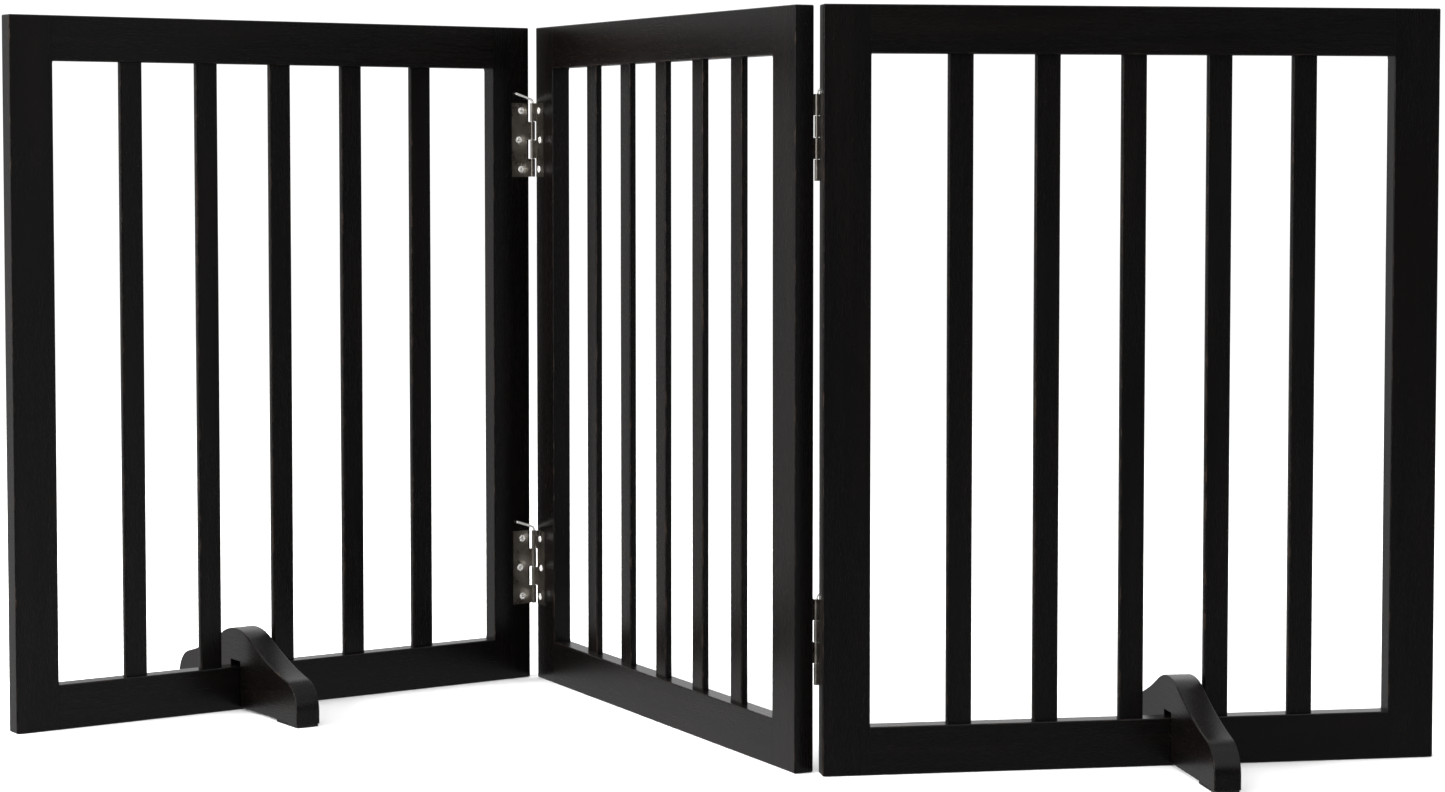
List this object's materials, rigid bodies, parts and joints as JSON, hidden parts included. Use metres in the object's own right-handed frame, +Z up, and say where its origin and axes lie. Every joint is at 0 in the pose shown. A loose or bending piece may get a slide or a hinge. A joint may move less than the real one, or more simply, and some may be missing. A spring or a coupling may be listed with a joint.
{
  "type": "pet gate",
  "caption": "Free-standing folding pet gate: slatted wooden panels in a zig-zag on loose-pin hinges, steadied by saddle feet with rubber pads.",
  "frame": {"origin": "middle of the gate's plan box, on the floor", "axes": "+X from the free end of the left panel to the free end of the right panel, +Y from the front to the back, +Z up"},
  "size_m": [1.1946, 0.4959, 0.61],
  "materials": {
    "espresso_wood": "satin near-black espresso lacquer",
    "dowel_wood": "bare",
    "hinge_nickel": "satin nickel plate",
    "screw_steel": "bright plate",
    "pin_steel": "bright plate",
    "pad_rubber": "matt"
  },
  "bodies": {
    "left_panel": {"left_panel_left_stile": "espresso_wood", "left_panel_right_stile": "espresso_wood", "left_panel_top_rail": "espresso_wood", "left_panel_bottom_rail": "espresso_wood", "left_panel_dowels": "dowel_wood", "left_panel_slat_1": "espresso_wood", "left_panel_slat_2": "espresso_wood", "left_panel_slat_3": "espresso_wood", "left_panel_slat_4": "espresso_wood", "left_panel_slat_5": "espresso_wood", "upper_left_hinge_outer_leaf": "hinge_nickel", "upper_left_hinge_outer_screws": "screw_steel", "lower_left_hinge_outer_leaf": "hinge_nickel", "lower_left_hinge_outer_screws": "screw_steel"},
    "middle_panel": {"middle_panel_left_stile": "espresso_wood", "middle_panel_right_stile": "espresso_wood", "middle_panel_top_rail": "espresso_wood", "middle_panel_bottom_rail": "espresso_wood", "middle_panel_dowels": "dowel_wood", "middle_panel_slat_1": "espresso_wood", "middle_panel_slat_2": "espresso_wood", "middle_panel_slat_3": "espresso_wood", "middle_panel_slat_4": "espresso_wood", "middle_panel_slat_5": "espresso_wood", "upper_left_hinge_middle_leaf": "hinge_nickel", "upper_left_hinge_middle_screws": "screw_steel", "lower_left_hinge_middle_leaf": "hinge_nickel", "lower_left_hinge_middle_screws": "screw_steel", "upper_right_hinge_middle_leaf": "hinge_nickel", "upper_right_hinge_middle_screws": "screw_steel", "lower_right_hinge_middle_leaf": "hinge_nickel", "lower_right_hinge_middle_screws": "screw_steel"},
    "right_panel": {"right_panel_left_stile": "espresso_wood", "right_panel_right_stile": "espresso_wood", "right_panel_top_rail": "espresso_wood", "right_panel_bottom_rail": "espresso_wood", "right_panel_dowels": "dowel_wood", "right_panel_slat_1": "espresso_wood", "right_panel_slat_2": "espresso_wood", "right_panel_slat_3": "espresso_wood", "right_panel_slat_4": "espresso_wood", "right_panel_slat_5": "espresso_wood", "upper_right_hinge_outer_leaf": "hinge_nickel", "upper_right_hinge_outer_screws": "screw_steel", "lower_right_hinge_outer_leaf": "hinge_nickel", "lower_right_hinge_outer_screws": "screw_steel"},
    "upper_left_pin": {"upper_left_hinge_pin": "pin_steel"},
    "lower_left_pin": {"lower_left_hinge_pin": "pin_steel"},
    "upper_right_pin": {"upper_right_hinge_pin": "pin_steel"},
    "lower_right_pin": {"lower_right_hinge_pin": "pin_steel"},
    "left_foot": {"left_foot": "espresso_wood", "left_foot_front_pad": "pad_rubber", "left_foot_rear_pad": "pad_rubber"},
    "right_foot": {"right_foot": "espresso_wood", "right_foot_front_pad": "pad_rubber", "right_foot_rear_pad": "pad_rubber"}
  },
  "joints": [
    {"name": "fold_left", "type": "hinge", "parent": "middle_panel", "child": "left_panel", "pos_m": [-0.18961, 0.235, 0.305], "axis": [0, 0, 1], "range_deg": [-109.5, 59.5]},
    {"name": "fold_right", "type": "hinge", "parent": "middle_panel", "child": "right_panel", "pos_m": [0.09804, -0.18933, 0.305], "axis": [0, 0, 1], "range_deg": [-76, 85]},
    {"name": "upper_left_pin_pull", "type": "slide", "parent": "left_panel", "child": "upper_left_pin", "axis": [0, 0, 1], "range_m": [0, 0.075]},
    {"name": "lower_left_pin_pull", "type": "slide", "parent": "left_panel", "child": "lower_left_pin", "axis": [0, 0, 1], "range_m": [0, 0.075]},
    {"name": "upper_right_pin_pull", "type": "slide", "parent": "right_panel", "child": "upper_right_pin", "axis": [0, 0, 1], "range_m": [0, 0.075]},
    {"name": "lower_right_pin_pull", "type": "slide", "parent": "right_panel", "child": "lower_right_pin", "axis": [0, 0, 1], "range_m": [0, 0.075]},
    {"name": "left_foot_lift", "type": "slide", "parent": "left_panel", "child": "left_foot", "axis": [0, 0, 1], "range_m": [0, 0.05]},
    {"name": "right_foot_lift", "type": "slide", "parent": "right_panel", "child": "right_foot", "axis": [0, 0, 1], "range_m": [0, 0.05]}
  ]
}
